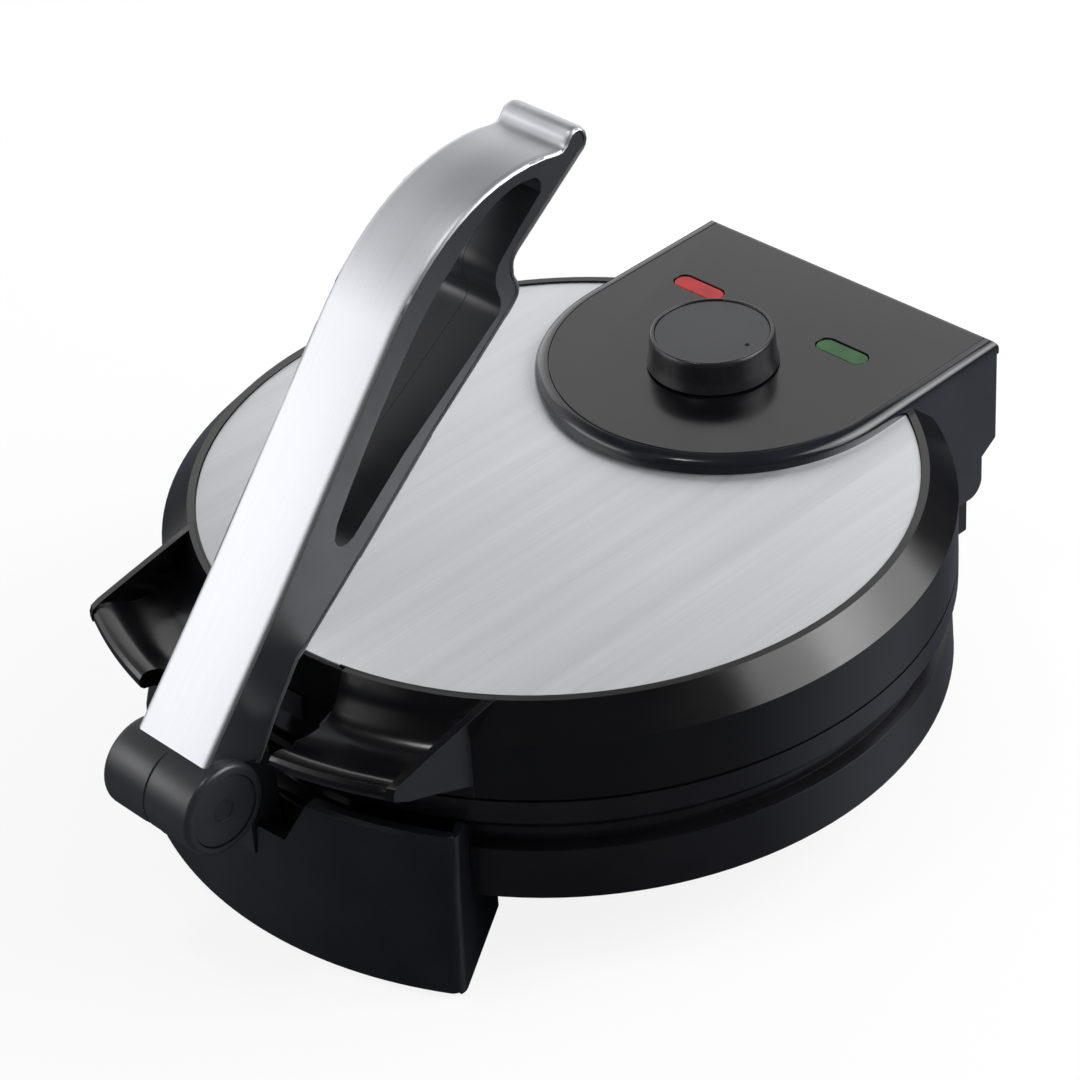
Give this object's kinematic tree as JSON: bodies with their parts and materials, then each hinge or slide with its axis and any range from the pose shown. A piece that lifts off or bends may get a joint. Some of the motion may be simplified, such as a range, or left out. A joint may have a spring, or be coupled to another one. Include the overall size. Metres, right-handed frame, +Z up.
{
  "type": "electric roti maker",
  "caption": "Round countertop flatbread press with two heated plates, a hinged lid, a control box with knob and signal lenses, and a tall pivoting press lever.",
  "frame": {"origin": "on the table under the middle of the whole object's box", "axes": "+Z up, -Y to the press lever side (front), +Y to the hinge and control box side, +X to the viewer's right from the front"},
  "size_m": [0.261, 0.3274, 0.229],
  "materials": {
    "lid_plastic": "polished black moulding",
    "disc_steel": "brushed in straight lines",
    "shield_steel": "pressed sheet",
    "cooking_plate": "cast, dark non-stick coat",
    "element_steel": "drawn tube",
    "plate_post": "cast",
    "screw_steel": "zinc plated",
    "box_plastic": "satin moulding",
    "panel_plastic": "polished",
    "red_lens": "clear coloured",
    "green_lens": "clear coloured",
    "lamp_glass": "clear",
    "thermostat_ceramic": "fired",
    "brass": "turned",
    "knob_plastic": "satin moulding",
    "knob_insert_plastic": "satin",
    "base_plastic": "fine texture",
    "dark_plastic": "fine texture",
    "bracket_plastic": "satin",
    "pad_rubber": "moulded",
    "pin_steel": "ground",
    "lug_metal": "dark coat",
    "lever_plastic": "satin moulding",
    "lever_skin_metal": "satin silver"
  },
  "bodies": {
    "base": {"base_shell": "base_plastic", "bottom_cover": "dark_plastic", "lower_heat_shield": "shield_steel", "lower_plate": "cooking_plate", "lower_element": "element_steel", "lower_plate_posts": "plate_post", "terminal_block": "thermostat_ceramic", "shield_screws": "screw_steel", "cover_screws": "screw_steel", "hinge_tower": "dark_plastic", "hinge_pins": "pin_steel", "rear_foot": "base_plastic", "rear_pads": "pad_rubber", "cord_gland": "pad_rubber", "front_bracket": "bracket_plastic", "bracket_screws": "screw_steel", "front_pads": "pad_rubber", "pivot_lug": "lug_metal", "lug_screws": "screw_steel", "pivot_pin": "pin_steel"},
    "lid": {"lid_shell": "lid_plastic", "left_press_tray": "lid_plastic", "right_press_tray": "lid_plastic", "lid_disc": "disc_steel", "press_pad": "dark_plastic", "upper_heat_shield": "shield_steel", "upper_plate": "cooking_plate", "upper_element": "element_steel", "upper_plate_posts": "plate_post", "lid_screws": "screw_steel", "control_box": "box_plastic", "control_panel": "panel_plastic", "power_lens": "red_lens", "ready_lens": "green_lens", "indicator_lamps": "lamp_glass", "thermostat": "thermostat_ceramic"},
    "knob": {"spindle": "brass", "knob": "knob_plastic", "knob_insert": "knob_insert_plastic"},
    "lever": {"lever_left_shell": "lever_plastic", "lever_right_shell": "lever_plastic", "lever_skin": "lever_skin_metal", "lever_bushes": "brass", "barrel_caps": "lever_plastic", "lever_screws": "screw_steel"}
  },
  "joints": [
    {"name": "lid_hinge", "type": "hinge", "parent": "base", "child": "lid", "pos_m": [0, 0.14295, 0.0525], "axis": [-1, 0, 0], "range_deg": [0, 75]},
    {"name": "lever_swing", "type": "hinge", "parent": "base", "child": "lever", "pos_m": [0, -0.14835, 0.071], "axis": [1, 0, 0], "range_deg": [0, 105]},
    {"name": "knob_turn", "type": "hinge", "parent": "lid", "child": "knob", "pos_m": [0, 0.09295, 0.106], "axis": [0, 0, -1], "range_deg": [0, 270]}
  ],
  "couplings": [
    {"joint": "lever_swing", "follows": "lid_hinge", "ratio": 1.4}
  ]
}
